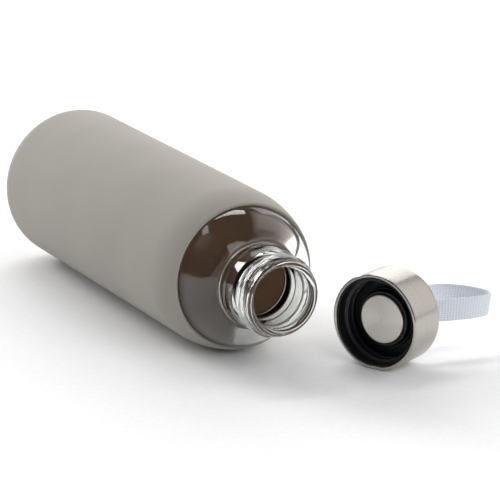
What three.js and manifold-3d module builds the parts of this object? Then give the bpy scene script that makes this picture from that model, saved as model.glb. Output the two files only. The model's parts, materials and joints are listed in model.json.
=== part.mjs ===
// A glass water bottle in a silicone sleeve, lying on its side, with its screw cap and
// the cap's strap beside it.
// The bottle's axis is +X from the base to the mouth, +Z is up, and the origin is the middle of
// the base's flat face.
import * as THREE from "three";
import { mergeVertices } from "three/addons/utils/BufferGeometryUtils.js";
import Module from "manifold-3d";

const wasm = await Module();
wasm.setup();

// ---- driving dimensions, in millimetres ----

const GAP = 0.3; // between two pieces that touch
const SEGMENTS = 40; // facets round a turned piece, one of them flat on the surface it lies on

// the bottle's body
const BOTTLE_LENGTH = 221; // from the sleeve's base to the glass rim
const SLEEVE_RADIUS = 35;
const SLEEVE_WALL = 1.9;
const SLEEVE_LIP_WALL = 1.1;
const SLEEVE_BASE = 3;
const SLEEVE_CORNER = 15.2; // rounding of the closed end
const SLEEVE_LIP_REACH = 16.2; // how far the sleeve runs on over the shoulder
const GLASS_WALL = 2.6;
const GLASS_BASE = 6;
const SHOULDER_RUN = 29.6; // length of the rounded shoulder, along the axis

// the neck
const NECK_LENGTH = 23; // from the shoulder to the rim
const NECK_FILLET = 1.2;
const NECK_WALL = 3.15; // of the glass between its threads
const BORE_RADIUS = 13.35;
const NECK_PROUD = 0.05; // how far the plain part of the neck stands past the thread's crest
const FOOT_PROUD = 0.5; // how far the ring at the neck's foot stands past the plain part
const FOOT_LENGTH = 4.8;
const RIM_ROUNDING = 1.5;

// the screw thread that the neck and the liner share
const THREAD_PITCH = 3.6;
const THREAD_DEPTH = 1.45;
const THREAD_ROOT_WIDTH = 1.9;
const THREAD_CREST_WIDTH = 0.9;
const THREAD_PLAY = 0.35; // between a crest and the wall it faces
const THREAD_RUN_OUT = 60; // degrees over which a ridge fades at each end
const NECK_THREAD_END = 2.2; // plain glass between the end of the thread and the rim
const LINER_THREAD_END = 2; // plain wall between the end of the thread and the liner's floor
const LINER_THREAD_START = -60; // where the liner's thread begins, in degrees round from the top

// the cap
const SHELL_HEIGHT = 20.6;
const SHELL_WALL = 0.8;
const SHELL_EDGE = 3.4; // rounding round the closed top
const HEM_HEIGHT = 1.3; // the steel turned in round the mouth
const LINER_WALL = 1.2; // outside the thread's root
const LINER_LIP_WALL = 0.5; // the liner's lip, inside the hem
const LINER_PLATE = 2.2;
const PLUG_REACH = 6.9; // the plug's height above the face that the seal lies on
const PLUG_EDGE = 0.6; // chamfer round the plug
const DISC_BORDER = 1.4; // plug seen round the disc
const DISC_THICKNESS = 2;
const DISC_PROUD = 1.2; // how far the disc stands out of the plug
const DISC_EDGE = 0.4; // chamfer round the disc
const SEAL_FLANGE = 1.8;
const SEAL_SKIRT = 4.3;
const SEAL_SKIRT_WALL = 0.7;
const SEAL_PLAY = 0.45; // round the seal, in the bore and inside the liner's thread

// the webbing strap and the plate that holds its ends
const STRAP_WIDTH = 10;
const STRAP_THICKNESS = 1.3;
const STRAP_SPACING = 14; // between the two slots
const STRAP_REACH = 35.4; // how far the loop stands off the cap
const STRAP_TAIL = 5; // flat end inside the cap
const ANCHOR_THICKNESS = 1.5;
const ANCHOR_BORDER = 1; // plate seen at each side of the webbing
const SLOT_PLAY = 0.45; // round the webbing in its slot

// where the cap lies: its mouth ahead of the bottle's rim, clear of the neck, and the way its top points
const CAP_FORWARD = 4;
const CAP_CLEAR = 2.2;
const CAP_TURN = THREE.MathUtils.degToRad(27.15);

// ---- sizes that follow ----

const facet = (2 * Math.PI) / SEGMENTS;
const glassRadius = SLEEVE_RADIUS - SLEEVE_WALL - GAP;
const glassCorner = SLEEVE_CORNER - SLEEVE_WALL - GAP;
const glassFloor = SLEEVE_BASE + GAP;
const neckFrom = BOTTLE_LENGTH - NECK_LENGTH;
const shoulderFrom = neckFrom - SHOULDER_RUN;

const finishRadius = BORE_RADIUS + NECK_WALL; // the neck's surface between its threads
const neckCrest = finishRadius + THREAD_DEPTH;
const neckRadius = neckCrest + NECK_PROUD;
const footRadius = neckRadius + FOOT_PROUD;
const shoulderFoot = footRadius + NECK_FILLET;
const linerCrest = finishRadius + THREAD_PLAY;
const linerRoot = neckCrest + THREAD_PLAY;
const linerRadius = linerRoot + LINER_WALL;
const shellInside = linerRadius + GAP;
const shellRadius = shellInside + SHELL_WALL;
const linerLip = linerRoot + LINER_LIP_WALL;
const hemRadius = linerLip + GAP;
const plugRadius = BORE_RADIUS - SEAL_PLAY - SEAL_SKIRT_WALL - GAP;
const discRadius = plugRadius - DISC_BORDER;
const sealInner = plugRadius + GAP;
const sealOuter = linerCrest - SEAL_PLAY;

const shellCeiling = SHELL_HEIGHT - SHELL_WALL;
const strapTailAt = shellCeiling - GAP - STRAP_THICKNESS / 2;
const strapBend = SHELL_HEIGHT - strapTailAt - 0.4 * SHELL_WALL; // radius of the bend under a slot
const strapTailEnd = STRAP_SPACING / 2 + strapBend + STRAP_TAIL;
const anchorFrom = strapTailAt - STRAP_THICKNESS / 2 - GAP - ANCHOR_THICKNESS;
const linerTop = anchorFrom - GAP;
const sealLand = linerTop - LINER_PLATE;
const sealFace = sealLand - GAP - SEAL_FLANGE; // the rim closes on this face
const linerMouth = HEM_HEIGHT + GAP;
const collarAt = BOTTLE_LENGTH - sealFace + linerMouth; // the plain neck ends just inside the closed cap
const plugFace = sealLand - PLUG_REACH;
const discFace = plugFace - DISC_PROUD;

const neckThreadFrom = collarAt + GAP + THREAD_ROOT_WIDTH / 2;
const neckThreadTo = BOTTLE_LENGTH - NECK_THREAD_END - THREAD_ROOT_WIDTH / 2;
const linerThreadFrom = linerMouth + GAP + THREAD_ROOT_WIDTH / 2;
const linerThreadTo = sealLand - LINER_THREAD_END - THREAD_ROOT_WIDTH / 2;

// ---- helpers ----

function toManifold(geometry) {
  geometry.deleteAttribute("normal");
  geometry.deleteAttribute("uv");
  const merged = mergeVertices(geometry, 1e-4);
  const vertProperties = merged.attributes.position.array;
  const triVerts = new Uint32Array(merged.index.array);
  const whole = [];
  for (let t = 0; t < triVerts.length; t += 3) {
    const corners = triVerts.slice(t, t + 3);
    if (new Set(corners).size === 3) whole.push(...corners); // a facet on the axis has no area
  }
  return new wasm.Manifold(new wasm.Mesh({ numProp: 3, vertProperties, triVerts: new Uint32Array(whole) }));
}

function toGeometry(solid) {
  const mesh = solid.getMesh();
  const geometry = new THREE.BufferGeometry();
  geometry.setAttribute("position", new THREE.BufferAttribute(mesh.vertProperties, 3));
  geometry.setIndex(new THREE.BufferAttribute(mesh.triVerts, 1));
  geometry.computeVertexNormals();
  return geometry;
}

const point = (radius, along) => new THREE.Vector2(radius, along);

// Points of an elliptical arc, its angles in degrees from the radial direction.
function arc(radius, along, radial, axial, from, to, steps) {
  return Array.from({ length: steps + 1 }, (_, i) => {
    const angle = THREE.MathUtils.degToRad(from + ((to - from) * i) / steps);
    return point(radius + radial * Math.cos(angle), along + axial * Math.sin(angle));
  });
}

// A solid of revolution about +Y, from a profile that starts and ends on the axis or closes on itself.
function turned(profile) {
  return toManifold(new THREE.LatheGeometry(profile, SEGMENTS, facet / 2));
}

// A trapezium ridge wound round +Y, from one height to another. It grows out of the wall at `root` towards
// `crest` and fades at both ends. It begins on the facet nearest to `start`, in degrees.
function threadRidge(root, crest, from, to, start) {
  const steps = Math.round(((to - from) / THREAD_PITCH) * SEGMENTS);
  const fade = (THREAD_RUN_OUT / 360) * SEGMENTS;
  const least = 0.02; // a ridge's end keeps this share of its depth, so that it has no flat faces
  const first = Math.round((start / 360) * SEGMENTS) + 0.5;
  const sunk = root - Math.sign(crest - root) * GAP;
  const positions = [];
  for (let i = 0; i <= steps; i += 1) {
    const angle = (first + i) * facet;
    const height = from + (i / SEGMENTS) * THREAD_PITCH;
    const share = Math.max(Math.min(1, i / fade, (steps - i) / fade), least);
    const tip = root + (crest - root) * share;
    const section = [
      [sunk, -THREAD_ROOT_WIDTH / 2],
      [tip, -THREAD_CREST_WIDTH / 2],
      [tip, THREAD_CREST_WIDTH / 2],
      [sunk, THREAD_ROOT_WIDTH / 2],
    ];
    for (const [radius, offset] of section) {
      positions.push(radius * Math.sin(angle), height + offset, radius * Math.cos(angle));
    }
  }
  const index = [0, 1, 2, 0, 2, 3];
  for (let i = 0; i < steps; i += 1) {
    for (let k = 0; k < 4; k += 1) {
      const a = 4 * i + k;
      const b = 4 * i + ((k + 1) % 4);
      index.push(a, a + 4, b, b, a + 4, b + 4);
    }
  }
  const last = 4 * steps;
  index.push(last, last + 2, last + 1, last, last + 3, last + 2);
  if (crest < root) index.reverse();
  const geometry = new THREE.BufferGeometry();
  geometry.setAttribute("position", new THREE.Float32BufferAttribute(positions, 3));
  geometry.setIndex(index);
  return toManifold(geometry);
}

function block(width, height, depth, x, y, z) {
  return toManifold(new THREE.BoxGeometry(width, height, depth).translate(x, y, z));
}

function piece(name, solid, material) {
  const mesh = new THREE.Mesh(toGeometry(solid), material);
  mesh.name = name;
  return mesh;
}

// ---- materials ----

const glass = new THREE.MeshStandardMaterial({ color: 0xdfe6e4, roughness: 0.03, metalness: 0 });
const silicone = new THREE.MeshStandardMaterial({ color: 0xb0aba0, roughness: 0.75, metalness: 0 });
const steel = new THREE.MeshStandardMaterial({ color: 0xb9b5af, roughness: 0.35, metalness: 1 });
const blackPlastic = new THREE.MeshStandardMaterial({ color: 0x14161a, roughness: 0.4, metalness: 0 });
const blackSilicone = new THREE.MeshStandardMaterial({ color: 0x101113, roughness: 0.6, metalness: 0 });
const webbing = new THREE.MeshStandardMaterial({ color: 0xbcc0ca, roughness: 0.9, metalness: 0 });

// ---- the bottle ----

// The shoulder is a quarter of an ellipse, outside and in, and the sleeve follows it.
function glassBottle() {
  const insideRadius = glassRadius - GLASS_WALL;
  const insideFoot = BORE_RADIUS + NECK_FILLET;
  const insideFloor = glassFloor + GLASS_BASE;
  const insideCorner = glassCorner - GLASS_WALL;
  const insideRun = SHOULDER_RUN - GLASS_WALL;
  const insideNeck = shoulderFrom + insideRun;
  const collarChamfer = neckRadius - finishRadius;
  const rim = BOTTLE_LENGTH - RIM_ROUNDING;
  const profile = [
    point(0, glassFloor),
    ...arc(glassRadius - glassCorner, glassFloor + glassCorner, glassCorner, glassCorner, -90, 0, 6),
    ...arc(shoulderFoot, shoulderFrom, glassRadius - shoulderFoot, SHOULDER_RUN, 0, 90, 9),
    ...arc(shoulderFoot, neckFrom + NECK_FILLET, NECK_FILLET, NECK_FILLET, 270, 180, 2).slice(1),
    point(footRadius, neckFrom + FOOT_LENGTH - FOOT_PROUD),
    point(neckRadius, neckFrom + FOOT_LENGTH),
    point(neckRadius, collarAt - collarChamfer),
    point(finishRadius, collarAt),
    ...arc(finishRadius - RIM_ROUNDING, rim, RIM_ROUNDING, RIM_ROUNDING, 0, 90, 3),
    ...arc(BORE_RADIUS + RIM_ROUNDING, rim, RIM_ROUNDING, RIM_ROUNDING, 90, 180, 3),
    ...arc(insideFoot, insideNeck + NECK_FILLET, NECK_FILLET, NECK_FILLET, 180, 270, 2),
    ...arc(insideFoot, shoulderFrom, insideRadius - insideFoot, insideRun, 90, 0, 8).slice(1),
    ...arc(insideRadius - insideCorner, insideFloor + insideCorner, insideCorner, insideCorner, 0, -90, 5),
    point(0, insideFloor),
  ];
  return turned(profile).add(threadRidge(finishRadius, neckCrest, neckThreadFrom, neckThreadTo, 0));
}

function siliconeSleeve() {
  const insideAt = (along, lift) => {
    const share = Math.max(0, (along - shoulderFrom) / SHOULDER_RUN);
    return shoulderFoot + (glassRadius - shoulderFoot) * Math.sqrt(1 - share * share) + lift;
  };
  const steps = 6;
  const along = (i) => shoulderFrom + (SLEEVE_LIP_REACH * i) / steps;
  const wall = (i) => SLEEVE_WALL + ((SLEEVE_LIP_WALL - SLEEVE_WALL) * i) / steps;
  const outsideAt = (i) => point(insideAt(along(i), GAP + wall(i)), along(i));
  const outside = Array.from({ length: steps + 1 }, (_, i) => outsideAt(i));
  const inside = Array.from({ length: steps + 1 }, (_, i) => point(insideAt(along(i), GAP), along(i)));
  const innerCorner = SLEEVE_CORNER - SLEEVE_WALL;
  const profile = [
    point(0, 0),
    ...arc(SLEEVE_RADIUS - SLEEVE_CORNER, SLEEVE_CORNER, SLEEVE_CORNER, SLEEVE_CORNER, -90, 0, 7),
    ...outside,
    ...inside.reverse(),
    ...arc(glassRadius + GAP - innerCorner, SLEEVE_BASE + innerCorner, innerCorner, innerCorner, 0, -90, 6),
    point(0, SLEEVE_BASE),
  ];
  return turned(profile);
}

// ---- the cap, built with its mouth at y = 0 and its top at +Y ----

function capShell() {
  const innerEdge = SHELL_EDGE - SHELL_WALL;
  const roundMouth = HEM_HEIGHT / 2;
  const profile = [
    point(hemRadius, HEM_HEIGHT),
    ...arc(hemRadius + roundMouth, roundMouth, roundMouth, roundMouth, 180, 270, 2),
    ...arc(shellRadius - roundMouth, roundMouth, roundMouth, roundMouth, -90, 0, 2),
    ...arc(shellRadius - SHELL_EDGE, SHELL_HEIGHT - SHELL_EDGE, SHELL_EDGE, SHELL_EDGE, 0, 90, 4),
    point(0, SHELL_HEIGHT),
    point(0, shellCeiling),
    ...arc(shellInside - innerEdge, shellCeiling - innerEdge, innerEdge, innerEdge, 90, 0, 4),
    point(shellInside, HEM_HEIGHT),
    point(hemRadius, HEM_HEIGHT),
  ];
  const slotLong = STRAP_WIDTH + 2 * SLOT_PLAY;
  const slotShort = STRAP_THICKNESS + 2 * SLOT_PLAY;
  let shell = turned(profile);
  for (const side of [-1, 1]) {
    const slot = block(slotShort, 4 * SHELL_WALL, slotLong, (side * STRAP_SPACING) / 2, SHELL_HEIGHT, 0);
    shell = shell.subtract(slot);
  }
  return shell;
}

function capLiner() {
  const seat = discFace + DISC_THICKNESS + GAP;
  const seatRadius = discRadius + GAP;
  const lipBevel = LINER_LIP_WALL / 2;
  const profile = [
    point(0, seat),
    point(seatRadius, seat),
    point(seatRadius, plugFace),
    point(plugRadius - PLUG_EDGE, plugFace),
    point(plugRadius, plugFace + PLUG_EDGE),
    point(plugRadius, sealLand),
    point(linerRoot, sealLand),
    point(linerRoot, HEM_HEIGHT),
    point(linerRoot + lipBevel, GAP),
    point(linerLip, GAP),
    point(linerLip, linerMouth),
    point(linerRadius, linerMouth),
    point(linerRadius, linerTop),
    point(0, linerTop),
  ];
  const thread = threadRidge(linerRoot, linerCrest, linerThreadFrom, linerThreadTo, LINER_THREAD_START);
  return turned(profile).add(thread);
}

function capDisc() {
  return turned([
    point(0, discFace),
    point(discRadius - DISC_EDGE, discFace),
    point(discRadius, discFace + DISC_EDGE),
    point(discRadius, discFace + DISC_THICKNESS),
    point(0, discFace + DISC_THICKNESS),
  ]);
}

// A flat ring that the rim closes on, with a thin skirt that enters the bore.
function sealRing() {
  const back = sealLand - GAP;
  const skirtOuter = sealInner + SEAL_SKIRT_WALL;
  return turned([
    point(sealInner, back),
    point(sealInner, back - SEAL_SKIRT),
    point(skirtOuter, back - SEAL_SKIRT),
    point(skirtOuter, sealFace),
    point(sealOuter, sealFace),
    point(sealOuter, back),
    point(sealInner, back),
  ]);
}

function strapAnchor() {
  const round = STRAP_WIDTH / 2 + ANCHOR_BORDER;
  const reach = strapTailEnd + 1.5 * ANCHOR_BORDER - round;
  const outline = new THREE.Shape();
  outline.absarc(reach, 0, round, -Math.PI / 2, Math.PI / 2);
  outline.absarc(-reach, 0, round, Math.PI / 2, (3 * Math.PI) / 2);
  const plate = new THREE.ExtrudeGeometry(outline, {
    depth: ANCHOR_THICKNESS,
    bevelEnabled: false,
    curveSegments: 8,
  });
  return toManifold(plate.rotateX(-Math.PI / 2).translate(0, anchorFrom, 0));
}

// The middle line of the webbing, seen edge on: a flat tail, a bend up through its slot, and the free loop,
// which leans over to one side. The loop's points are shares of half the slots' spacing and of its reach.
function strapLine() {
  const half = STRAP_SPACING / 2;
  const bendAt = strapTailAt + strapBend;
  const quarter = (side) => arc(side * (half + strapBend), bendAt, -side * strapBend, -strapBend, 0, 90, 4);
  const loopShape = [
    [-1, 0.085],
    [-0.943, 0.282],
    [-0.757, 0.537],
    [-0.429, 0.751],
    [0.171, 0.898],
    [1, 0.969],
    [2, 1],
    [2.857, 0.986],
    [3.343, 0.915],
    [3.314, 0.791],
    [2.943, 0.633],
    [2.257, 0.441],
    [1.514, 0.254],
    [1.086, 0.102],
  ];
  const corners = [
    new THREE.Vector3(-half, bendAt, 0),
    ...loopShape.map(([x, y]) => new THREE.Vector3(x * half, SHELL_HEIGHT + y * STRAP_REACH, 0)),
    new THREE.Vector3(half, bendAt, 0),
  ];
  const loop = new THREE.CatmullRomCurve3(corners, false, "centripetal").getSpacedPoints(56);
  return [
    point(-strapTailEnd, strapTailAt),
    ...quarter(-1).reverse().slice(0, -1),
    ...loop.map((p) => point(p.x, p.y)),
    ...quarter(1).slice(1),
    point(strapTailEnd, strapTailAt),
  ];
}

function strap() {
  const line = strapLine();
  const side = (sign) =>
    line.map((p, i) => {
      const run = line[Math.min(i + 1, line.length - 1)].clone().sub(line[Math.max(i - 1, 0)]);
      const across = new THREE.Vector2(-run.y, run.x).normalize();
      return p.clone().addScaledVector(across, (sign * STRAP_THICKNESS) / 2);
    });
  const outline = new THREE.Shape([...side(-1), ...side(1).reverse()]);
  const band = new THREE.ExtrudeGeometry(outline, { depth: STRAP_WIDTH, bevelEnabled: false });
  return toManifold(band.translate(0, 0, -STRAP_WIDTH / 2));
}

// ---- assembly ----

const bottle = new THREE.Group();
bottle.rotation.z = -Math.PI / 2; // turned about +Y, laid along +X
bottle.add(piece("glass_bottle", glassBottle(), glass));
bottle.add(piece("silicone_sleeve", siliconeSleeve(), silicone));

const cap = new THREE.Group();
cap.position.set(
  BOTTLE_LENGTH + CAP_FORWARD,
  neckRadius + shellRadius + CAP_CLEAR,
  shellRadius - SLEEVE_RADIUS,
);
cap.rotation.z = CAP_TURN;
cap.add(piece("cap_shell", capShell(), steel));
cap.add(piece("cap_liner", capLiner(), blackPlastic));
cap.add(piece("cap_disc", capDisc(), steel));
cap.add(piece("seal_ring", sealRing(), blackSilicone));
cap.add(piece("strap_anchor", strapAnchor(), steel));
cap.add(piece("strap", strap(), webbing));

const waterBottle = new THREE.Group();
waterBottle.add(bottle, cap);

export default waterBottle;
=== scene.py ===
# %% [markdown]
# # A glass water bottle with its cap off
# The bottle is a clear glass body in a soft silicone sleeve. It lies on its side, and its screw cap lies in
# front of it: a brushed steel shell round a black threaded liner, with a webbing loop to carry it by. The
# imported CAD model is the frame. Every piece made here goes where that frame says, and nothing in it moves.

# %% Load the frame
import json
import math

import bmesh
import bpy
from mathutils import Matrix, Vector
from mathutils.geometry import interpolate_bezier
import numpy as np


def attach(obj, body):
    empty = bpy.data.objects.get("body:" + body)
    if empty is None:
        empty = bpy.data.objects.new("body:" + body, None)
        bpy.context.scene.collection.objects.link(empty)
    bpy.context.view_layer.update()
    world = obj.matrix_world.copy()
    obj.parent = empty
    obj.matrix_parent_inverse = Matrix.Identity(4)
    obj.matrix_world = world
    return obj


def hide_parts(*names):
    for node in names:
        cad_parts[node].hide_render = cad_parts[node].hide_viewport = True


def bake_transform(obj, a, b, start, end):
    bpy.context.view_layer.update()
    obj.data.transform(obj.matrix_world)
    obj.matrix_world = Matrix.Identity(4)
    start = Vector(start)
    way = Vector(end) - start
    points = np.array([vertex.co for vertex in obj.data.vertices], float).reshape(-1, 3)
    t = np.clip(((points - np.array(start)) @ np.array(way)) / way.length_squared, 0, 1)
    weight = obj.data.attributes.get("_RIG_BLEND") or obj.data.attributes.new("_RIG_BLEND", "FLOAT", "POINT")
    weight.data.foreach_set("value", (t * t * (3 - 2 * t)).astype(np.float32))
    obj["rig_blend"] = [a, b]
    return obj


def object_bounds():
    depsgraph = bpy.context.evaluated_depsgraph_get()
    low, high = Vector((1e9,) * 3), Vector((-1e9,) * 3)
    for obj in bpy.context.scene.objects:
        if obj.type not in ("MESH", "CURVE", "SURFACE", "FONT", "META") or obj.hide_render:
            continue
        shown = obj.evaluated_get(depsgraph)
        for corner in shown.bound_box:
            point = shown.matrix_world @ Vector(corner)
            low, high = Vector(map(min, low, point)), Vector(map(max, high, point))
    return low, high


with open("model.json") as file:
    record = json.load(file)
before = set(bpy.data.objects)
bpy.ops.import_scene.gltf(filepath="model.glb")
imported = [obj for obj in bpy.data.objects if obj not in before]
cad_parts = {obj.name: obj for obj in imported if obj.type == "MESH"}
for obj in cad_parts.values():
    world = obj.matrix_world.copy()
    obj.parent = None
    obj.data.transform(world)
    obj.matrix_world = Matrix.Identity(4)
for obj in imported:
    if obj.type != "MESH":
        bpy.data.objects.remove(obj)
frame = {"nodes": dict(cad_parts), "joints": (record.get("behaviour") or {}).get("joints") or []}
cad_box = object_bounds()
print("CAD box in metres", cad_box)

# %% [markdown]
# ## Two places to build in
# A turned piece is easiest to draw about its own axis, so the bottle and the cap are each drawn upright,
# with the axis along +Y, in millimetres. Two matrices then lay them where the frame has them. The cap's
# place comes from its joints: the seal slides straight out of its mouth, and the strap folds at the middle
# of its top.

# %% Places
MM = 0.001
joints = {joint["name"]: joint for joint in frame["joints"]}
CAP_HEIGHT = 20.6
cap_axis = -Vector(joints["seal_pull"]["axis"]).normalized()
cap_top = Vector(joints["strap_fold"]["pos_m"])
cap_turn = math.atan2(-cap_axis.x, cap_axis.y)
bottle_place = Matrix.Rotation(-math.pi / 2, 4, "Z") @ Matrix.Scale(MM, 4)
cap_place = (
    Matrix.Translation(cap_top - cap_axis * CAP_HEIGHT * MM)
    @ Matrix.Rotation(cap_turn, 4, "Z")
    @ Matrix.Scale(MM, 4)
)
print("cap's mouth at", tuple(round(v, 4) for v in cap_place.translation))

# %% [markdown]
# ## The camera
# A long lens from the front and right of the mouth, a little above the table, as a product is usually shot.
# The distance and the lens go together: a long lens far away keeps the two ends of the bottle nearly the
# same size.

# %% Camera
CAMERA_TARGET = Vector((0.1498, 0.0211, 0.0))
CAMERA_AZIMUTH = math.radians(62.6)
CAMERA_ELEVATION = math.radians(15.9)
CAMERA_ROLL = math.radians(0.7)
CAMERA_DISTANCE = 1.339
LENS = 222.3

camera_data = bpy.data.cameras.new("camera")
camera_data.lens = LENS
camera_data.sensor_width = 36
camera_data.clip_end = 20
camera = bpy.data.objects.new("camera", camera_data)
bpy.context.scene.collection.objects.link(camera)
towards_camera = Vector((
    math.sin(CAMERA_AZIMUTH) * math.cos(CAMERA_ELEVATION),
    -math.cos(CAMERA_AZIMUTH) * math.cos(CAMERA_ELEVATION),
    math.sin(CAMERA_ELEVATION),
))
camera.location = CAMERA_TARGET + towards_camera * CAMERA_DISTANCE
looking = (-towards_camera).to_track_quat("-Z", "Y").to_matrix().to_4x4()
camera.matrix_world = (
    Matrix.Translation(camera.location) @ looking @ Matrix.Rotation(CAMERA_ROLL, 4, "Z")
)
bpy.context.scene.camera = camera
print("camera at", tuple(round(v, 3) for v in camera.matrix_world.translation))

# %% [markdown]
# ## Helpers for materials
# One function turns a colour picked on a screen into the linear numbers that a shader works in, and one
# adds a node with its settings and its links. Everything else in a material is said where the material is
# made.

# %% Material helpers
def colour(code):
    parts = [int(code[i : i + 2], 16) / 255 for i in (1, 3, 5)]
    linear = [p / 12.92 if p <= 0.04045 else ((p + 0.055) / 1.055) ** 2.4 for p in parts]
    return (*linear, 1.0)


def add(tree, kind, inputs=None, **settings):
    """Adds a node. Where inputs gives a socket it is linked, and any other value is set."""
    node = tree.nodes.new("ShaderNode" + kind)
    for name, value in settings.items():
        setattr(node, name, value)
    for key, value in (inputs or {}).items():
        socket = node.inputs[key]
        if isinstance(value, bpy.types.NodeSocket):
            tree.links.new(value, socket)
        else:
            socket.default_value = value
    return node


def start_material(name):
    material = bpy.data.materials.new(name)
    material.use_nodes = True
    tree = material.node_tree
    tree.nodes.clear()
    return material, tree


def finish_material(tree, shader):
    add(tree, "OutputMaterial", {"Surface": shader.outputs[0]})


def ramp(tree, factor, stops):
    """A colour ramp whose stops are (place, screen colour)."""
    node = add(tree, "ValToRGB", {"Fac": factor})
    elements = node.color_ramp.elements
    while len(elements) < len(stops):
        elements.new(0.5)
    for element, (place, code) in zip(elements, stops):
        element.position = place
        element.color = colour(code)
    return node.outputs["Color"]


# %% [markdown]
# ## Helpers for turned pieces
# Most of this object is turned or moulded round an axis, so most pieces are an outline spun round +Y. The
# outline has only the points that its shape needs, and its round stretches are arcs. Each point carries how
# far along the outline it lies, and the spin copies that, so the finished piece can be unwrapped: round the
# piece in one direction, along the outline in the other, both in metres.

# %% Outlines
FACETS = 192


def arc(radius, along, radial, axial, start, end, steps):
    """Points of an elliptical arc, its angles in degrees from the radial direction."""
    points = []
    for i in range(steps + 1):
        angle = math.radians(start + (end - start) * i / steps)
        points.append((radius + radial * math.cos(angle), along + axial * math.sin(angle)))
    return points


def straight(start, end, steps):
    """Evenly spaced points between two points, without the first."""
    return [tuple(a + (b - a) * i / steps for a, b in zip(start, end)) for i in range(1, steps + 1)]


def spun(profile, closed=False, facets=FACETS):
    """A bmesh of the outline spun round +Y, faces outwards, with the length so far on each vertex."""
    bm = bmesh.new()
    run_layer = bm.verts.layers.float.new("run")
    verts = []
    run = 0.0
    for i, (radius, along) in enumerate(profile):
        if i:
            run += math.dist(profile[i - 1], (radius, along))
        vert = bm.verts.new((0.0, along, radius))
        vert[run_layer] = run
        verts.append(vert)
    edges = [bm.edges.new(pair) for pair in zip(verts, verts[1:])]
    if closed:
        edges.append(bm.edges.new((verts[-1], verts[0])))
    bmesh.ops.spin(
        bm, geom=verts + edges, cent=(0, 0, 0), axis=(0, 1, 0), dvec=(0, 0, 0), angle=2 * math.pi,
        space=Matrix.Identity(4), steps=facets, use_merge=True, use_normal_flip=False, use_duplicate=False,
    )
    bmesh.ops.remove_doubles(bm, verts=bm.verts, dist=1e-5)
    bmesh.ops.recalc_face_normals(bm, faces=bm.faces)
    return bm


def unwrap_round(bm, reference_radius):
    """A UV map in metres: how far round the piece at a reference radius, and how far along its outline."""
    run_layer = bm.verts.layers.float["run"]
    uv_layer = bm.loops.layers.uv.new("turned")
    for face in bm.faces:
        middle = face.calc_center_median()
        towards = math.atan2(middle.x, middle.z)
        for loop in face.loops:
            co = loop.vert.co
            angle = towards
            if math.hypot(co.x, co.z) > 1e-4:
                angle += math.remainder(math.atan2(co.x, co.z) - towards, 2 * math.pi)
            loop[uv_layer].uv = (angle * reference_radius * MM, loop.vert[run_layer] * MM)


def to_piece(name, bm, place, material, body=None, smooth_angle=32):
    """Puts a finished bmesh into the scene, smooth but for sharp edges, riding on its body if it has one."""
    bm.transform(place)
    mesh = bpy.data.meshes.new(name)
    bm.to_mesh(mesh)
    bm.free()
    mesh.shade_smooth()
    mesh.set_sharp_from_angle(angle=math.radians(smooth_angle))
    mesh.materials.append(material)
    piece = bpy.data.objects.new(name, mesh)
    bpy.context.scene.collection.objects.link(piece)
    if body:
        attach(piece, body)
    print(f"{name}: {len(mesh.vertices)} vertices, {len(mesh.polygons)} faces")
    return piece


# %% [markdown]
# ## A screw thread by moving vertices
# A thread could be a separate ridge joined on with a Boolean. On glass that leaves thin slivers that show,
# so the wall is turned with closely spaced rings instead, and each of its vertices is pushed out, or in, by
# the height that the ridge has at its angle and place. The surface stays one closed skin.

# %% Thread
THREAD_PITCH = 3.6
THREAD_DEPTH = 1.45
THREAD_ROOT_WIDTH = 1.9
THREAD_CREST_WIDTH = 0.9
THREAD_RUN_OUT = 1 / 6  # of a turn, over which the ridge fades at each end


def cut_thread(bm, wall, depth, first, turns, softness, start=0.0):
    """Raises a thread on the vertices at radius `wall` by depth, which is negative to go inwards.

    It begins at the place `first` along the axis, and at `start`, a part of a turn round from the top."""
    for vert in bm.verts:
        radius = math.hypot(vert.co.x, vert.co.z)
        if abs(radius - wall) > 1e-3:
            continue
        round_part = (math.atan2(vert.co.x, vert.co.z) / (2 * math.pi) - start) % 1.0
        height = 0.0
        for whole in range(math.ceil(turns) + 1):
            turn = round_part + whole
            if turn > turns:
                continue
            off = abs(vert.co.y - (first + turn * THREAD_PITCH))
            flank = (THREAD_ROOT_WIDTH / 2 - off) / ((THREAD_ROOT_WIDTH - THREAD_CREST_WIDTH) / 2)
            flank = max(0.0, min(1.0, flank))
            rounded = flank * flank * (3 - 2 * flank)
            end = max(0.0, min(1.0, turn / THREAD_RUN_OUT, (turns - turn) / THREAD_RUN_OUT))
            height = max(height, (flank + (rounded - flank) * softness) * end)
        scale = (radius + depth * height) / radius
        vert.co.x *= scale
        vert.co.z *= scale


# %% [markdown]
# ## Clear glass
# The body is blown in a mould and fire polished, so it is perfectly smooth with a faint waviness, where the
# skin froze against the mould. It has almost no colour of its own. Principled with full transmission and an
# IOR of 1.5 gives the dark and bright lines at its edges by itself, because each wall has a real thickness.

# %% Glass material
def make_glass():
    material, tree = start_material("clear_soda_lime_glass")
    where = add(tree, "TexCoord").outputs["Object"]
    wave_length_mm = 9
    waves = add(tree, "TexNoise", {"Vector": where, "Scale": 1 / (wave_length_mm * MM), "Detail": 1.0})
    bump = add(tree, "Bump", {"Height": waves.outputs[0], "Strength": 0.25, "Distance": 0.00006})
    shader = add(tree, "BsdfPrincipled", {
        "Base Color": colour("#fbfdfb"),
        "Roughness": 0.0,
        "IOR": 1.5,
        "Transmission Weight": 1.0,
        "Normal": bump.outputs[0],
    })
    finish_material(tree, shader)
    return material


glass = make_glass()

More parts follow.
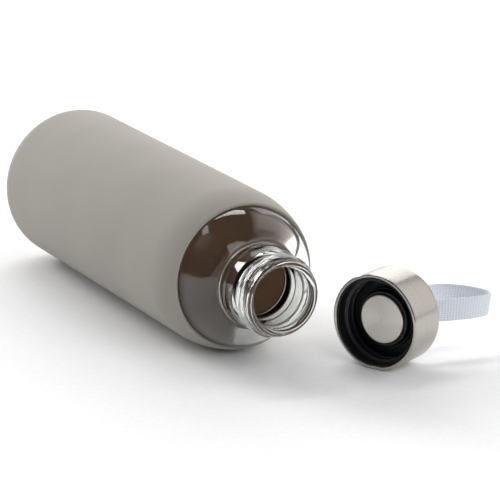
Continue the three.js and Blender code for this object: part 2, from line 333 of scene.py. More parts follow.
# %% [markdown]
# ## Soft-touch silicone
# The sleeve is moulded silicone with a fine matt bloom, a warm grey. It scatters light almost evenly, with
# a wide, dull shine at low angles. Fine bumps of about half a millimetre carry that bloom, drawn coarser
# than real ones so that they show, and a slow drift of the colour stops it looking like paint. The face
# that is seen through the glass is a second material: the same silicone, painted paler and warmer as
# painted light, standing in for the light that the glass keeps from it. Light scatters about five
# millimetres below it, because the wall is thin enough for some to come through from outside. The seal is
# a third, nearly black.

# %% Silicone material
def make_silicone(name, dark, pale, roughness, through=0.0):
    material, tree = start_material(name)
    where = add(tree, "TexCoord").outputs["Object"]
    drift_mm = 35
    grain_mm = 0.45
    drift = add(tree, "TexNoise", {"Vector": where, "Scale": 1 / (drift_mm * MM), "Detail": 2.0})
    tint = ramp(tree, drift.outputs[0], [(0.3, dark), (0.7, pale)])
    grain = add(tree, "TexNoise", {
        "Vector": where, "Scale": 1 / (grain_mm * MM), "Detail": 3.0, "Roughness": 0.6,
    })
    bump = add(tree, "Bump", {"Height": grain.outputs[0], "Strength": 0.35, "Distance": 0.00005})
    rough = add(tree, "MapRange", {
        "Value": grain.outputs[0], "From Min": 0.3, "From Max": 0.7,
        "To Min": roughness - 0.05, "To Max": roughness + 0.05,
    })
    shader = add(tree, "BsdfPrincipled", {
        "Base Color": tint,
        "Roughness": rough.outputs[0],
        "IOR": 1.41,
        "Sheen Weight": 0.12,
        "Sheen Roughness": 0.5,
        "Subsurface Weight": through,
        "Subsurface Radius": (5.0, 4.5, 4.1),
        "Subsurface Scale": MM,
        "Normal": bump.outputs[0],
    })
    finish_material(tree, shader)
    return material


sleeve_silicone = make_silicone("soft_touch_silicone", "#96918a", "#9c978f", 0.85)
# painted light: the same silicone made paler and warmer for the face inside the glass, which little light
# reaches
inside_silicone_painted_lighter = make_silicone("silicone_inside_painted_lighter", "#aea299", "#b4a89f", 0.7, through=1.0)
seal_silicone = make_silicone("black_silicone", "#101113", "#16171a", 0.5)

# %% [markdown]
# ## Steel, brushed round and turned flat
# Brushing leaves fine scratches that all run round the cap, so a highlight spreads across them into a band
# along the axis. On the disc, which is faced on a lathe, the scratches are circles, and the highlight fans
# out into two wedges. Both come from anisotropy. The tangent follows the scratches, which is the first
# direction of the turned UV map, and is then turned by a quarter, because the shader stretches a highlight
# along its tangent and scratches spread it across themselves. The scratches themselves are drawn at about a
# third of a millimetre, coarser than real ones, so that they show.

# %% Steel material
def make_steel(name, dark, pale, roughness, anisotropic, scratch_mm, depth):
    material, tree = start_material(name)
    turned = add(tree, "UVMap", uv_map="turned").outputs[0]
    split = add(tree, "SeparateXYZ", {"Vector": turned})
    where = add(tree, "TexCoord").outputs["Object"]
    wander_length_mm = 14
    wander_mm = 0.4
    slow = add(tree, "TexNoise", {"Vector": where, "Scale": 1 / (wander_length_mm * MM), "Detail": 1.0})
    wander = add(tree, "Math", {0: slow.outputs[0], 1: wander_mm * MM}, operation="MULTIPLY")
    line = add(tree, "Math", {0: split.outputs["Y"], 1: wander.outputs[0]}, operation="ADD")
    scratches = add(tree, "TexNoise", {
        "W": line.outputs[0], "Scale": 1 / (scratch_mm * MM), "Detail": 4.0, "Roughness": 0.7,
    }, noise_dimensions="1D")
    tint = ramp(tree, scratches.outputs[0], [(0.25, dark), (0.75, pale)])
    rough = add(tree, "MapRange", {
        "Value": scratches.outputs[0], "From Min": 0.25, "From Max": 0.75,
        "To Min": roughness + 0.06, "To Max": roughness - 0.04,
    })
    bump = add(tree, "Bump", {"Height": scratches.outputs[0], "Strength": 0.5, "Distance": depth * MM})
    tangent = add(tree, "Tangent", direction_type="UV_MAP", uv_map="turned")
    shader = add(tree, "BsdfPrincipled", {
        "Base Color": tint,
        "Metallic": 1.0,
        "Roughness": rough.outputs[0],
        "Anisotropic": anisotropic,
        "Anisotropic Rotation": 0.25,
        "Normal": bump.outputs[0],
        "Tangent": tangent.outputs[0],
    })
    finish_material(tree, shader)
    return material


brushed_steel = make_steel("brushed_stainless_steel", "#a9a49d", "#c6c2bc", 0.24, 0.7, 0.35, 0.008)
turned_steel = make_steel("turned_stainless_steel", "#d0ccc5", "#e2ded8", 0.32, 0.85, 0.3, 0.012)

# %% [markdown]
# ## Black plastic
# The liner is moulded polypropylene. Its mould was lightly blasted, so it has a fine grain and a soft
# shine, and its ridges pick up thin grey lines. The grain is drawn coarser than a real one so that it
# shows.

# %% Plastic material
def make_plastic():
    material, tree = start_material("black_polypropylene")
    where = add(tree, "TexCoord").outputs["Object"]
    grain_mm = 0.3
    grain = add(tree, "TexNoise", {"Vector": where, "Scale": 1 / (grain_mm * MM), "Detail": 2.0})
    tint = ramp(tree, grain.outputs[0], [(0.35, "#0c0d10"), (0.65, "#14161b")])
    bump = add(tree, "Bump", {"Height": grain.outputs[0], "Strength": 0.3, "Distance": 0.00002})
    rough = add(tree, "MapRange", {"Value": grain.outputs[0], "To Min": 0.3, "To Max": 0.44})
    shader = add(tree, "BsdfPrincipled", {
        "Base Color": tint,
        "Roughness": rough.outputs[0],
        "IOR": 1.49,
        "Normal": bump.outputs[0],
    })
    finish_material(tree, shader)
    return material


black_plastic = make_plastic()

# %% [markdown]
# ## The glass body
# One skin from the middle of its base, up the outside, over the rim and down the inside. The shoulder is a
# quarter of an ellipse, the neck has a low ring round its foot, and the rim is a bead of rounded glass.

# %% Glass body
GAP = 0.3
BOTTLE_LENGTH = 221
SLEEVE_RADIUS = 35
SLEEVE_WALL = 1.9
SLEEVE_LIP_WALL = 1.1
SLEEVE_BASE = 3
SLEEVE_CORNER = 15.2
LIP_REACH = 16.2
GLASS_WALL = 2.6
GLASS_BASE = 6
SHOULDER_RUN = 29.6
NECK_LENGTH = 23
NECK_FILLET = 1.2
NECK_RADIUS = 18.0
FOOT_RADIUS = 18.5
FOOT_LENGTH = 4.8
BORE_RADIUS = 13.35
FINISH_RADIUS = 16.5
RIM_ROUNDING = 1.5
COLLAR_AT = 210.8
NECK_THREAD_FROM = 212.05
NECK_THREAD_TURNS = 1.6

glass_radius = SLEEVE_RADIUS - SLEEVE_WALL - GAP
glass_corner = SLEEVE_CORNER - SLEEVE_WALL - GAP
glass_floor = SLEEVE_BASE + GAP
neck_from = BOTTLE_LENGTH - NECK_LENGTH
shoulder_from = neck_from - SHOULDER_RUN
shoulder_foot = FOOT_RADIUS + NECK_FILLET


def glass_outline():
    inside_radius = glass_radius - GLASS_WALL
    inside_foot = BORE_RADIUS + NECK_FILLET
    inside_floor = glass_floor + GLASS_BASE
    inside_corner = glass_corner - GLASS_WALL
    inside_run = SHOULDER_RUN - GLASS_WALL
    rim = BOTTLE_LENGTH - RIM_ROUNDING
    outside = arc(
        glass_radius - glass_corner, glass_floor + glass_corner, glass_corner, glass_corner, -90, 0, 16,
    )
    outside += arc(shoulder_foot, shoulder_from, glass_radius - shoulder_foot, SHOULDER_RUN, 0, 90, 40)
    outside += arc(shoulder_foot, neck_from + NECK_FILLET, NECK_FILLET, NECK_FILLET, 270, 180, 8)[1:]
    step = (FOOT_RADIUS - NECK_RADIUS) / 2
    step_at = neck_from + FOOT_LENGTH - step
    neck = arc(FOOT_RADIUS - step, step_at - step, step, step, 0, 80, 4)
    neck += arc(NECK_RADIUS + step, step_at + step, step, step, 260, 180, 4)
    round_off = 0.7
    hollow = 0.5
    slope_from = COLLAR_AT - (NECK_RADIUS - FINISH_RADIUS) - 0.3
    slope_to = COLLAR_AT + 0.2
    neck += arc(NECK_RADIUS - round_off, slope_from, round_off, round_off, 0, 55, 5)
    neck += arc(FINISH_RADIUS + hollow, slope_to, hollow, hollow, 235, 180, 4)
    finish = straight(neck[-1], (FINISH_RADIUS, rim), 64)
    lip = arc(FINISH_RADIUS - RIM_ROUNDING, rim, RIM_ROUNDING, RIM_ROUNDING, 0, 90, 8)[1:]
    lip += arc(BORE_RADIUS + RIM_ROUNDING, rim, RIM_ROUNDING, RIM_ROUNDING, 90, 180, 8)
    fillet_at = shoulder_from + inside_run + NECK_FILLET
    inside = arc(inside_foot, fillet_at, NECK_FILLET, NECK_FILLET, 180, 270, 8)
    inside += arc(inside_foot, shoulder_from, inside_radius - inside_foot, inside_run, 90, 0, 40)[1:]
    corner_at = inside_floor + inside_corner
    inside += arc(inside_radius - inside_corner, corner_at, inside_corner, inside_corner, 0, -90, 16)
    return [(0, glass_floor), *outside, *neck, *finish, *lip, *inside, (0, inside_floor)]


bm = spun(glass_outline())
cut_thread(bm, FINISH_RADIUS, THREAD_DEPTH, NECK_THREAD_FROM, NECK_THREAD_TURNS, softness=1.0)
glass_body = to_piece("glass_body", bm, bottle_place, glass, "bottle", smooth_angle=60)
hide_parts("glass_bottle")

# %% [markdown]
# ## The sleeve
# A cup of silicone that follows the glass with its wall getting thinner over the shoulder. Its lip is a
# thin rounded edge, which catches a fine line of light against the dark gap behind it. The faces that look
# inwards, and the inner floor, take the paler copy of the silicone that paints light on the inside, up to
# just short of the lip.

# %% Sleeve
LIP_HUGS = 0.7  # the share of the gap to the glass that closes up towards the lip
LIP_ROUND = 0.35
INNER_STOPS = 1.5  # how far short of the lip the inside material ends
INWARDS = -0.05  # a face looks inwards below this, and a flat one, at about 0, does not
FLOOR_NEARNESS = 0.1  # within this of the sleeve's inner floor, a face belongs to it


def sleeve_outline():
    def inside_at(along):
        share = max(0.0, (along - shoulder_from) / SHOULDER_RUN)
        return shoulder_foot + (glass_radius - shoulder_foot) * math.sqrt(1 - share * share) + GAP

    steps = 24
    outside, inside = [], []
    for i in range(steps + 1):
        along = shoulder_from + LIP_REACH * i / steps
        wall = SLEEVE_WALL + (SLEEVE_LIP_WALL - SLEEVE_WALL) * i / steps
        outside.append((inside_at(along) + wall, along))
        inside.append((inside_at(along) - LIP_HUGS * GAP * i / steps, along))
    corner = arc(SLEEVE_RADIUS - SLEEVE_CORNER, SLEEVE_CORNER, SLEEVE_CORNER, SLEEVE_CORNER, -90, 0, 24)
    lip_middle = inside_at(shoulder_from + LIP_REACH) + SLEEVE_LIP_WALL / 2
    lip = arc(lip_middle, shoulder_from + LIP_REACH, SLEEVE_LIP_WALL / 2, LIP_ROUND, 0, 180, 10)[1:-1]
    inner = SLEEVE_CORNER - SLEEVE_WALL
    inner_corner = arc(glass_radius + GAP - inner, SLEEVE_BASE + inner, inner, inner, 0, -90, 18)
    return [(0, 0), *corner, *outside, *lip, *reversed(inside), *inner_corner, (0, SLEEVE_BASE)]


bm = spun(sleeve_outline(), facets=256)
sleeve = to_piece("sleeve", bm, bottle_place, sleeve_silicone, "bottle", smooth_angle=60)
sleeve.data.materials.append(inside_silicone_painted_lighter)
to_axis = bottle_place.inverted()
for polygon in sleeve.data.polygons:
    middle = to_axis @ polygon.center
    outwards = Vector((middle.x, 0, middle.z)).normalized()
    inwards = (to_axis.to_3x3() @ polygon.normal).normalized().dot(outwards) < INWARDS
    on_floor = abs(middle.y - SLEEVE_BASE) < FLOOR_NEARNESS
    at_lip = middle.y > shoulder_from + LIP_REACH - INNER_STOPS
    # inward faces and the inner floor take the paler copy, painted light for the inside
    if (inwards or on_floor) and not at_lip:
        polygon.material_index = 1
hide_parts("silicone_sleeve")

# %% [markdown]
# ## The cap's shell
# Thin stainless drawn into a cup. Its mouth is turned in to a rounded hem that holds the liner, and two
# slots are punched in its top for the webbing. The slots are cut with a Boolean, because they cross the
# grain of the spin.

# %% Shell
SHELL_RADIUS = 20.6
SHELL_WALL = 0.8
SHELL_EDGE = 3.4
HEM_RADIUS = 19.1
HEM_HEIGHT = 1.3
STRAP_WIDTH = 10
STRAP_THICKNESS = 1.3
STRAP_SPACING = 14
SLOT_PLAY = 0.45


def shell_outline():
    inner = SHELL_RADIUS - SHELL_WALL
    inner_edge = SHELL_EDGE - SHELL_WALL
    ceiling = CAP_HEIGHT - SHELL_WALL
    half = HEM_HEIGHT / 2
    mouth = arc(HEM_RADIUS + half, half, half, half, 120, 270, 10)
    mouth += arc(SHELL_RADIUS - half, half, half, half, -90, 0, 8)
    side = straight(mouth[-1], (SHELL_RADIUS, CAP_HEIGHT - SHELL_EDGE), 6)
    edge = arc(SHELL_RADIUS - SHELL_EDGE, CAP_HEIGHT - SHELL_EDGE, SHELL_EDGE, SHELL_EDGE, 0, 90, 16)[1:]
    top = straight(edge[-1], (0.0, CAP_HEIGHT), 8)
    under = arc(inner - inner_edge, ceiling - inner_edge, inner_edge, inner_edge, 90, 0, 10)
    return [*mouth, *side, *edge, *top, (0.0, ceiling), *under, (inner, HEM_HEIGHT)]


def slot_cutter(side):
    """A rounded bar where one strap end passes through the top."""
    half_long = STRAP_WIDTH / 2 + SLOT_PLAY
    half_short = STRAP_THICKNESS / 2 + SLOT_PLAY
    bm = bmesh.new()
    bmesh.ops.create_cube(bm, size=2.0)
    scale = Matrix.Diagonal((half_short, 3 * SHELL_WALL, half_long, 1))
    place = Matrix.Translation((side * STRAP_SPACING / 2, CAP_HEIGHT, 0))
    bmesh.ops.transform(bm, matrix=place @ scale, verts=bm.verts)
    upright = [e for e in bm.edges if abs((e.verts[0].co - e.verts[1].co).normalized().y) > 0.9]
    bmesh.ops.bevel(
        bm, geom=upright, offset=half_short * 0.9, offset_type="OFFSET", segments=6, profile=0.5,
        affect="EDGES", material=-1,
    )
    mesh = bpy.data.meshes.new("slot_cutter")
    bm.transform(cap_place)
    bm.to_mesh(mesh)
    bm.free()
    cutter = bpy.data.objects.new("slot_cutter", mesh)
    bpy.context.scene.collection.objects.link(cutter)
    return cutter


bm = spun(shell_outline(), closed=True)
unwrap_round(bm, SHELL_RADIUS)
shell = to_piece("shell", bm, cap_place, brushed_steel, "cap")
for side in (-1, 1):
    cutter = slot_cutter(side)
    cut = shell.modifiers.new("slot", "BOOLEAN")
    cut.object = cutter
    cut.solver = "EXACT"
    with bpy.context.temp_override(object=shell, active_object=shell):
        bpy.ops.object.modifier_apply(modifier=cut.name)
    bpy.data.objects.remove(cutter)
shell.data.set_sharp_from_angle(angle=math.radians(32))
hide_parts("cap_shell")
print("shell after its slots:", len(shell.data.polygons), "faces")

# %% [markdown]
# ## The liner
# A moulded cup with a thread on its inner wall and a plug in the middle that reaches into the neck. The
# plug has a recess for the steel disc.

# %% Liner
LINER_MOUTH = HEM_HEIGHT + GAP
LINER_LIP = HEM_RADIUS - GAP
LINER_TOP = 16.1
SEAL_LAND = 13.9
PLUG_RADIUS = 11.9
PLUG_FACE = 7.0
DISC_RADIUS = 10.5
DISC_FACE = 5.8
DISC_THICKNESS = 2
THREAD_PLAY = 0.35
LINER_THREAD_FROM = 2.85
LINER_THREAD_TURNS = 2.25
LINER_THREAD_START = -1 / 6

liner_radius = SHELL_RADIUS - SHELL_WALL - GAP
liner_root = FINISH_RADIUS + THREAD_DEPTH + THREAD_PLAY
liner_crest = FINISH_RADIUS + THREAD_PLAY


def liner_outline():
    seat = DISC_FACE + DISC_THICKNESS + GAP
    recess = DISC_RADIUS + GAP
    edge = 0.5
    brink = 0.2
    plug = [(0.0, seat), (recess, seat)]
    plug += arc(recess + brink, PLUG_FACE + brink, brink, brink, 180, 270, 3)
    plug += arc(PLUG_RADIUS - edge, PLUG_FACE + edge, edge, edge, -90, 0, 5)
    land = arc(PLUG_RADIUS + edge, SEAL_LAND - edge, edge, edge, 180, 90, 4)
    land += arc(liner_root - edge, SEAL_LAND - edge, edge, edge, 90, 0, 4)[:-1]
    wall = [(liner_root, SEAL_LAND - edge)]
    wall += straight(wall[0], (liner_root, HEM_HEIGHT), 90)
    lip = arc(LINER_LIP, HEM_HEIGHT, LINER_LIP - liner_root, HEM_HEIGHT - GAP, 180, 270, 6)[1:]
    ledge = [(LINER_LIP, LINER_MOUTH), (liner_radius, LINER_MOUTH)]
    back = [(liner_radius, LINER_TOP), (0.0, LINER_TOP)]
    return [*plug, *land, *wall, *lip, *ledge, *back]


bm = spun(liner_outline())
cut_thread(
    bm, liner_root, liner_crest - liner_root, LINER_THREAD_FROM, LINER_THREAD_TURNS,
    softness=0.6, start=LINER_THREAD_START,
)
liner = to_piece("liner", bm, cap_place, black_plastic, "cap")
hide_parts("cap_liner")

# %% [markdown]
# ## The disc
# A coin of stainless, faced on a lathe and pressed into the plug. It stands a little proud, so its edge
# shows as a thin bright line. Its face keeps the faint rings that the tool cut, and has a small dimple at
# its middle.

# %% Disc
TOOL_PITCH = 0.9
TOOL_MARK = 0.004
DIMPLE = [(0.0, 0.22), (0.3, 0.16), (0.5, 0.0)]  # radius and depth
FACE_STEPS = 110


def disc_outline():
    edge = 0.55
    dimple = [(radius, DISC_FACE + depth) for radius, depth in DIMPLE]
    dimple_radius = DIMPLE[-1][0]
    face_width = DISC_RADIUS - edge - 0.6  # up to just short of the rounded rim
    face = []
    for i in range(1, FACE_STEPS):
        radius = dimple_radius + face_width * i / FACE_STEPS
        face.append((radius, DISC_FACE + TOOL_MARK * math.sin(2 * math.pi * radius / TOOL_PITCH)))
    rim = arc(DISC_RADIUS - edge, DISC_FACE + edge, edge, edge, -90, 0, 6)
    back = DISC_FACE + DISC_THICKNESS
    return [*dimple, *face, *rim, (DISC_RADIUS, back), (0.0, back)]


bm = spun(disc_outline())
unwrap_round(bm, DISC_RADIUS)
disc = to_piece("disc", bm, cap_place, turned_steel, "cap")
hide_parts("cap_disc")

# %% [markdown]
# ## The seal
# A soft ring round the plug. Its flat part is what the rim presses on, and its thin skirt wipes the inside
# of the neck.

# %% Seal
SEAL_FACE = 11.8
SEAL_SKIRT = 4.3
SEAL_SKIRT_WALL = 0.7


def seal_outline():
    inner = PLUG_RADIUS + GAP
    back = SEAL_LAND - GAP
    outer = liner_crest - 1.5 * GAP
    skirt = inner + SEAL_SKIRT_WALL
    tip = back - SEAL_SKIRT
    edge = 0.3
    half = SEAL_SKIRT_WALL / 2
    points = [(inner, back), (inner, tip + half)]
    points += arc(inner + half, tip + half, half, half, 180, 360, 8)
    points += arc(skirt + edge, SEAL_FACE - edge, edge, edge, 180, 90, 4)
    points += arc(outer - edge, SEAL_FACE + edge, edge, edge, -90, 0, 4)
    points += arc(outer - edge, back - edge, edge, edge, 0, 90, 4)
    return points


bm = spun(seal_outline(), closed=True)
seal = to_piece("seal", bm, cap_place, seal_silicone, "seal")
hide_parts("seal_ring")

# %% [markdown]
# ## The strap
# Narrow polyester webbing. Its two ends go down through the slots and lie flat inside the cap, under a
# steel plate. It is made the way it is sold: a flat ribbon is woven first, ribs and all, and is then laid
# along its line. The weave is real relief, about a tenth of a millimetre, because at this size it breaks up
# the outline and the highlights. A soft loop seldom stands square, so the further it is from the cap, the
# more one edge is shifted past the other.

# %% Strap line
STRAP_TAIL = 5
STRAP_TAIL_AT = 18.85
LOOP = [
    (-7, 3), (-6.6, 10), (-5.3, 19), (-3, 26.6), (1.2, 31.8), (7, 34.3), (14, 35.4),
    (20, 34.9), (23.4, 32.4), (23.2, 28), (20.6, 22.4), (15.8, 15.6), (10.6, 9), (7.6, 3.6),
]


def strap_line():
    """The middle of the webbing seen edge on, closely spaced."""
    half = STRAP_SPACING / 2
    below_top = 0.4 * SHELL_WALL
    bend = CAP_HEIGHT - STRAP_TAIL_AT - below_top
    bend_at = STRAP_TAIL_AT + bend
    down = arc(-half - bend, bend_at, bend, -bend, 90, 0, 10)
    up = arc(half + bend, bend_at, -bend, -bend, 0, 90, 10)
    above = [Vector((x, CAP_HEIGHT + y, 0)) for x, y in LOOP]
    corners = [Vector((-half, bend_at, 0)), *above, Vector((half, bend_at, 0))]
    loop = []
    for i in range(len(corners) - 1):
        before, start = corners[max(i - 1, 0)], corners[i]
        end, after = corners[i + 1], corners[min(i + 2, len(corners) - 1)]
        reach = (end - start).length / 3
        leave = (end - before).normalized() * reach
        arrive = (after - start).normalized() * reach
        if i == 0:
            leave = Vector((0, reach, 0))
        if i == len(corners) - 2:
            arrive = Vector((0, -reach, 0))
        loop += interpolate_bezier(start, start + leave, end - arrive, end, 16)[:-1]
    tail = half + bend + STRAP_TAIL
    middle = [(p.x, p.y) for p in loop[1:]]
    points = [(-tail, STRAP_TAIL_AT), *down, *middle, *up, (tail, STRAP_TAIL_AT)]
    return [Vector(point) for point in points]


line = strap_line()
runs = [0.0]
for a, b in zip(line, line[1:]):
    runs.append(runs[-1] + (b - a).length)
strap_length = runs[-1]
print(f"webbing cut {strap_length:.1f} mm long, {STRAP_WIDTH} mm wide")

# %% [markdown]
# ### The flat ribbon
# A grid is given its thickness, and each vertex is then lifted by the height that the weave has there:
# yarns side by side, crossed by ribs that alternate from one yarn to the next. Its UV map is its own flat
# size, so the pattern follows the cloth when it is bent.

# %% Woven ribbon
RIB_PITCH = 1.3
YARNS = 11
RELIEF = 0.11
STEPS_PER_RIB = 6
STEPS_PER_YARN = 4
YARN_ROUNDNESS = 1.8  # 2 would bring the sides of each yarn right down
CROWN_SHARE = 0.6  # of the relief, the rest of it being the ribs
EDGE_SHARE = 0.35  # of the thickness, left at the very edge
EDGE_ROUNDING = 0.6  # how far in the edge is rounded, in thicknesses


def woven_ribbon(length, width, thickness):
    """A flat closed ribbon along +X with the weave raised on both faces, and a UV map of its flat size."""
    bm = bmesh.new()
    along_steps = int(length / RIB_PITCH * STEPS_PER_RIB)
    bmesh.ops.create_grid(bm, x_segments=along_steps, y_segments=YARNS * STEPS_PER_YARN, size=0.5)
    bmesh.ops.transform(bm, matrix=Matrix.Diagonal((length, width, 1, 1)), verts=bm.verts)
    bmesh.ops.translate(bm, vec=(length / 2, 0, 0), verts=bm.verts)
    uv_layer = bm.loops.layers.uv.new("cloth")
    for face in bm.faces:
        for loop in face.loops:
            loop[uv_layer].uv = (loop.vert.co.x * MM, loop.vert.co.y * MM)
    bmesh.ops.solidify(bm, geom=bm.faces[:], thickness=thickness)
    bmesh.ops.recalc_face_normals(bm, faces=bm.faces)
    heights = [v.co.z for v in bm.verts]
    middle = (max(heights) + min(heights)) / 2
    for vert in bm.verts:
        across = vert.co.y / width + 0.5
        side = 1 if vert.co.z > middle else -1
        yarn = min(YARNS - 1, int(across * YARNS))
        inside = across * YARNS - yarn - 0.5
        other_side = 0 if side > 0 else math.pi
        rib = math.cos(2 * math.pi * vert.co.x / RIB_PITCH + math.pi * yarn + other_side)
        crown = math.sqrt(max(0.0, 1 - (YARN_ROUNDNESS * inside) ** 2))
        to_edge = (1 - abs(2 * across - 1)) * width / 2
        from_edge = min(1.0, to_edge / (EDGE_ROUNDING * thickness))
        rounding = math.sqrt(max(0.0, 1 - (1 - from_edge) ** 2))
        body = thickness / 2 * (EDGE_SHARE + (1 - EDGE_SHARE) * rounding)
        weave = CROWN_SHARE * crown + (1 - CROWN_SHARE) * rib * crown
        vert.co.z = side * (body - RELIEF + RELIEF * weave)
    return bm


STRAP_LEAN = 0.15  # the shift at the far bend, for each millimetre across the webbing
loop_reach = max(y for x, y in LOOP)


def lay_along(bm):
    """Bends the flat ribbon along the strap's line, its width along Z, with the far bend leaning a little."""
    spans = list(zip(runs, runs[1:], line, line[1:]))
    normals = []
    for i in range(len(line)):
        along = (line[min(i + 1, len(line) - 1)] - line[max(i - 1, 0)]).normalized()
        normals.append(Vector((-along.y, along.x)))
    place_cache = {}
    for vert in bm.verts:
        key = round(vert.co.x, 4)
        if key not in place_cache:
            k = next((n for n, s in enumerate(spans) if key <= s[1] + 1e-6), len(spans) - 1)
            share = max(0.0, min(1.0, (key - spans[k][0]) / (spans[k][1] - spans[k][0])))
            centre = spans[k][2].lerp(spans[k][3], share)
            normal = normals[k].lerp(normals[k + 1], share).normalized()
            place_cache[key] = (centre, normal)
        centre, normal = place_cache[key]
        lifted = centre + normal * vert.co.z
        lean = STRAP_LEAN * vert.co.y * max(0.0, (lifted.y - CAP_HEIGHT) / loop_reach)
        vert.co = Vector((lifted.x + lean, lifted.y, vert.co.y))


# %% [markdown]
# ### Woven polyester
# The weave turns its fibres every way, so the cloth is matt, with a soft sheen at low angles. The ribs and
# yarns carry faint painted shade at the same pitch as the relief: the colour is darker between the yarns and
# in stripes across them at the rib pitch. A finer noise stands for the fibres, drawn coarser than real ones
# so that it shows.

# %% Webbing material
def make_webbing():
    material, tree = start_material("woven_polyester_webbing")
    cloth = add(tree, "UVMap", uv_map="cloth").outputs[0]
    split = add(tree, "SeparateXYZ", {"Vector": cloth})
    rib_rate = 2 * math.pi / (RIB_PITCH * MM)  # radians per metre
    rib_phase = add(tree, "Math", {0: split.outputs["X"], 1: rib_rate}, operation="MULTIPLY")
    rib = add(tree, "Math", {0: rib_phase.outputs[0]}, operation="COSINE")
    yarn_rate = 2 * math.pi / (STRAP_WIDTH / YARNS * MM)
    yarn_phase = add(tree, "Math", {0: split.outputs["Y"], 1: yarn_rate}, operation="MULTIPLY")
    yarn = add(tree, "Math", {0: yarn_phase.outputs[0]}, operation="COSINE")
    fibre_mm = 0.5
    fibres = add(tree, "TexNoise", {
        "Vector": cloth, "Scale": 1 / (fibre_mm * MM), "Detail": 4.0, "Roughness": 0.7,
    })
    # painted shade of the weave: darker between the yarns, and in stripes across them at the rib pitch
    mixed = add(tree, "Math", {0: rib.outputs[0], 1: yarn.outputs[0]}, operation="ADD")
    painted_weave_shade = add(tree, "Math", {0: mixed.outputs[0], 1: 0.1}, operation="MULTIPLY")
    fibre_tone_and_painted_shade = add(tree, "Math", {0: painted_weave_shade.outputs[0], 1: fibres.outputs[0]}, operation="ADD")
    tint = ramp(tree, fibre_tone_and_painted_shade.outputs[0], [(0.25, "#bcc1cd"), (0.5, "#d4d8e2"), (0.8, "#e6e9ef")])
    bump = add(tree, "Bump", {"Height": fibres.outputs[0], "Strength": 0.5, "Distance": 0.00006})
    shader = add(tree, "BsdfPrincipled", {
        "Base Color": tint,
        "Roughness": 0.85,
        "Sheen Weight": 0.3,
        "Sheen Roughness": 0.4,
        "Normal": bump.outputs[0],
    })
    finish_material(tree, shader)
    return material


# %% [markdown]
# ### The loop in its place
# Its ends belong to the cap and its loop to the fold, with a blend between them over the first few
# millimetres, so that it bends at its slots.

# %% Strap
FOLD_REACH = 7
bm = woven_ribbon(strap_length, STRAP_WIDTH, STRAP_THICKNESS)
lay_along(bm)
strap = to_piece("webbing_loop", bm, cap_place, make_webbing(), smooth_angle=70)
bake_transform(strap, "cap", "strap_loop", start=cap_top, end=cap_top + cap_axis * FOLD_REACH * MM)
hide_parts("strap")

# %% [markdown]
# ## The strap's plate
# The plate that holds the webbing's ends is shut inside the cap. Its CAD node has the right shape, so it
# stays, with a plain mill finish.

# %% Plate
def make_mill_steel():
    material, tree = start_material("mill_finish_stainless_steel")
    where = add(tree, "TexCoord").outputs["Object"]
    grain_mm = 1.2
    grain = add(tree, "TexNoise", {"Vector": where, "Scale": 1 / (grain_mm * MM), "Detail": 3.0})
    tint = ramp(tree, grain.outputs[0], [(0.3, "#a8a5a0"), (0.7, "#bdbab5")])
    rough = add(tree, "MapRange", {"Value": grain.outputs[0], "To Min": 0.3, "To Max": 0.5})
    shader = add(tree, "BsdfPrincipled", {
        "Base Color": tint,
        "Metallic": 1.0,
        "Roughness": rough.outputs[0],
    })
    finish_material(tree, shader)
    return material


plate = frame["nodes"]["strap_anchor"]
plate.data.materials.clear()
plate.data.materials.append(make_mill_steel())

# %% [markdown]
# ## The table and the light
# A flat white floor, so wide that its far edge is out of sight. The light comes from panels placed by the
# span of directions that each covers, all equally far off, because a polished surface mirrors a direction
# and not a place. Their spans are the directions that the glass and the steel mirror where they should look
# bright. Between them the room is a dim grey, which is what gives clear glass its dark lines. Two of the
# panels light surfaces but are hidden from mirror reflections, which no real lamp can do. They stand for
# light that has bounced off the walls of a room.

# %% Stage
FLOOR_AT = cad_box[0][2]
FLOOR_HALF = 6.0
PANEL_DISTANCE = 3.0
PANELS_ROUND = Vector((0.15, 0.02, 0.0))


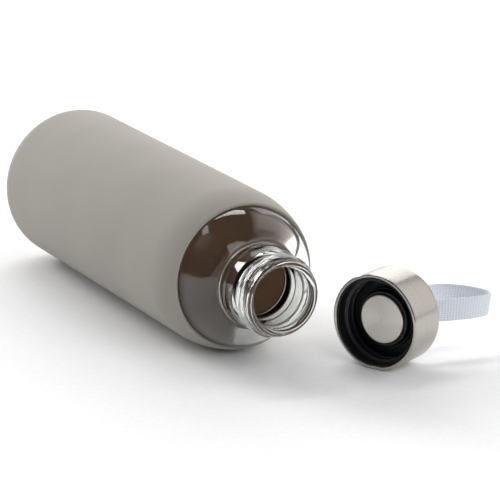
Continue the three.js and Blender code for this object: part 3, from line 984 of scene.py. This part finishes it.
def make_floor():
    material, tree = start_material("matt_white_paper")
    where = add(tree, "TexCoord").outputs["Object"]
    fibre_mm = 2.5
    fibre = add(tree, "TexNoise", {"Vector": where, "Scale": 1 / (fibre_mm * MM), "Detail": 2.0})
    tint = ramp(tree, fibre.outputs[0], [(0.3, "#f2f2f2"), (0.7, "#f6f6f6")])
    shader = add(tree, "BsdfPrincipled", {
        "Base Color": tint,
        "Roughness": 0.9,
        "Specular IOR Level": 0.2,
    })
    finish_material(tree, shader)
    bm = bmesh.new()
    bmesh.ops.create_grid(bm, x_segments=2, y_segments=2, size=FLOOR_HALF)
    mesh = bpy.data.meshes.new("floor")
    bm.to_mesh(mesh)
    bm.free()
    mesh.materials.append(material)
    floor = bpy.data.objects.new("floor", mesh)
    floor.location.z = FLOOR_AT
    bpy.context.scene.collection.objects.link(floor)


def panel(name, azimuths, elevations, radiance, tint="#ffffff", mirrored=True):
    """A soft panel far off, covering a range of directions in degrees, as bright as a surface of `radiance`.

    One that is not mirrored lights surfaces but is not seen in reflections.
    """
    azimuth = math.radians(sum(azimuths) / 2)
    elevation = math.radians(sum(elevations) / 2)
    half_angles = [math.radians(span[1] - span[0]) / 2 for span in (azimuths, elevations)]
    sides = [2 * PANEL_DISTANCE * math.tan(half_angle) for half_angle in half_angles]
    data = bpy.data.lights.new(name, "AREA")
    data.shape = "RECTANGLE"
    data.size, data.size_y = sides
    data.energy = radiance * math.pi * sides[0] * sides[1]
    data.color = colour(tint)[:3]
    lamp = bpy.data.objects.new(name, data)
    lamp.visible_glossy = mirrored
    away = Vector((
        math.sin(azimuth) * math.cos(elevation),
        -math.cos(azimuth) * math.cos(elevation),
        math.sin(elevation),
    ))
    facing = away.to_track_quat("Z", "Y").to_matrix().to_4x4()
    lamp.matrix_world = Matrix.Translation(PANELS_ROUND + away * PANEL_DISTANCE) @ facing
    bpy.context.scene.collection.objects.link(lamp)


make_floor()
panel("back_left", (217, 264), (4, 44), 1.9)
panel("back_left_bounce", (217, 264), (4, 44), 2.3, mirrored=False)
panel("left", (280, 302), (3, 34), 12.0)
panel("top_strip", (242, 276), (58, 67), 7.0)
panel("front_left_top", (307, 327), (50, 58), 3.5)
panel("front_top", (340, 365), (35, 60), 0.3)
panel("back_right", (146, 199), (1, 60), 1.1, "#f4f1ee")
panel("room_bounce", (75, 125), (15, 50), 3.0, mirrored=False)

world = bpy.data.worlds.new("room")
bpy.context.scene.world = world
world.use_nodes = True
background = world.node_tree.nodes["Background"]
background.inputs["Color"].default_value = colour("#f2f4f8")
background.inputs["Strength"].default_value = 0.14
bpy.context.scene.view_settings.view_transform = "Standard"
bpy.context.scene.view_settings.look = "None"
